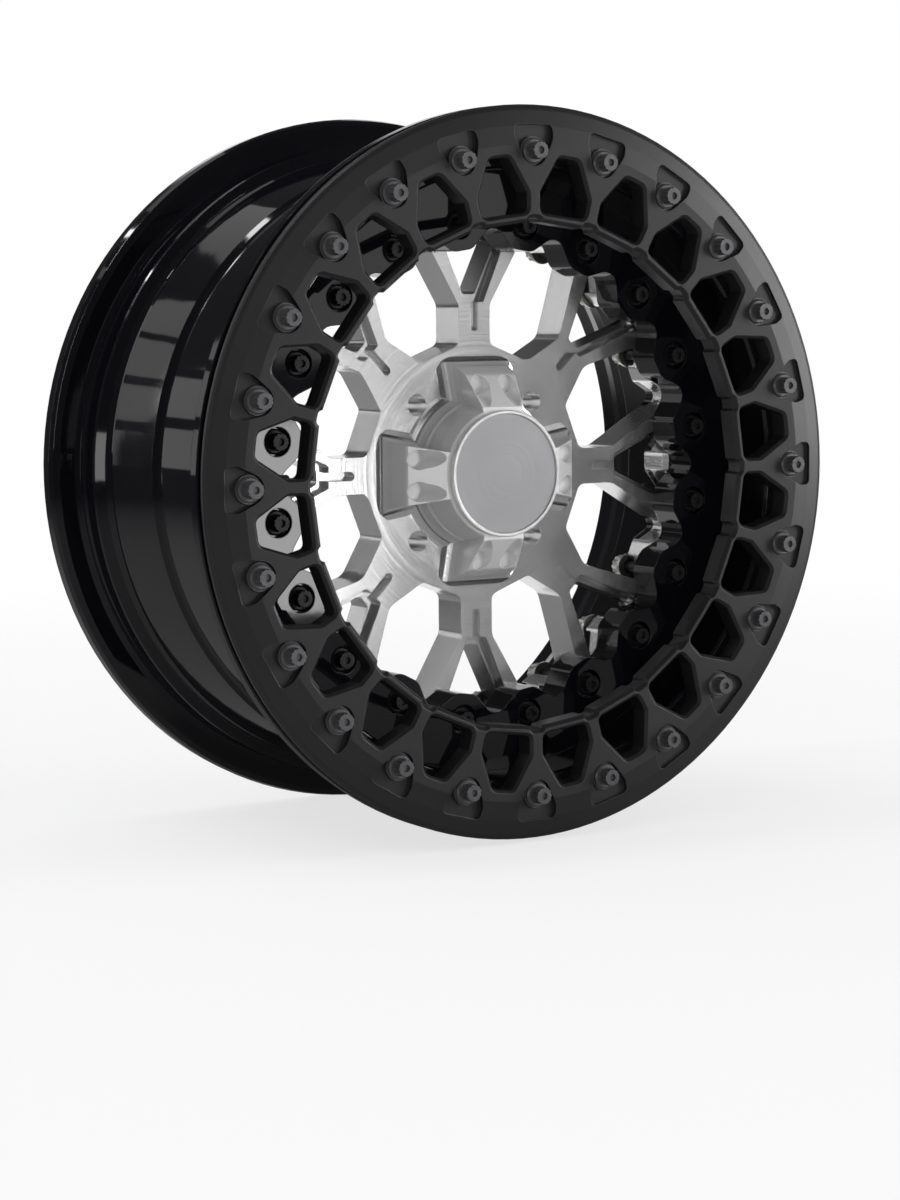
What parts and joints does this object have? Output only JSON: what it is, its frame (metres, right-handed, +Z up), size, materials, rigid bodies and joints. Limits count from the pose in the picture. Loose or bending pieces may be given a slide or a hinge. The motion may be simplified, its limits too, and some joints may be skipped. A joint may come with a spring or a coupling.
{
  "type": "beadlock wheel",
  "caption": "Three-piece alloy wheel with a windowed bolt-on beadlock ring, a two-part black barrel and a forked-spoke machined centre with a capped hub tower.",
  "frame": {"origin": "on the axle line, on the hub's mounting face", "axes": "+Y along the axle towards the vehicle, so the beadlock ring faces -Y; +Z up; +X to the right as seen from the street side"},
  "size_m": [0.4151, 0.2169, 0.4152],
  "materials": {
    "ring_coating": "satin dark grey coating",
    "gloss_black": "gloss black coating",
    "machined_alloy": "machined",
    "brushed_alloy": "brushed",
    "polished_alloy": "polished",
    "dark_steel": "satin black oxide",
    "plain_steel": "zinc plated",
    "seal_rubber": "matte"
  },
  "bodies": {
    "root": {"beadlock_ring": "ring_coating", "beadlock_bolts": "dark_steel", "beadlock_washers": "dark_steel", "thread_inserts": "plain_steel", "outer_barrel": "gloss_black", "inner_barrel": "gloss_black", "barrel_seal": "seal_rubber", "wheel_center": "machined_alloy", "assembly_bolts": "dark_steel", "assembly_washers": "plain_steel", "assembly_nuts": "plain_steel", "cap_body": "machined_alloy", "cap_bezel": "polished_alloy", "cap_face": "brushed_alloy", "cap_seal": "seal_rubber", "valve_body": "plain_steel", "valve_grommet": "seal_rubber", "valve_washer": "plain_steel", "valve_nut": "plain_steel", "valve_cap": "seal_rubber"}
  },
  "joints": []
}
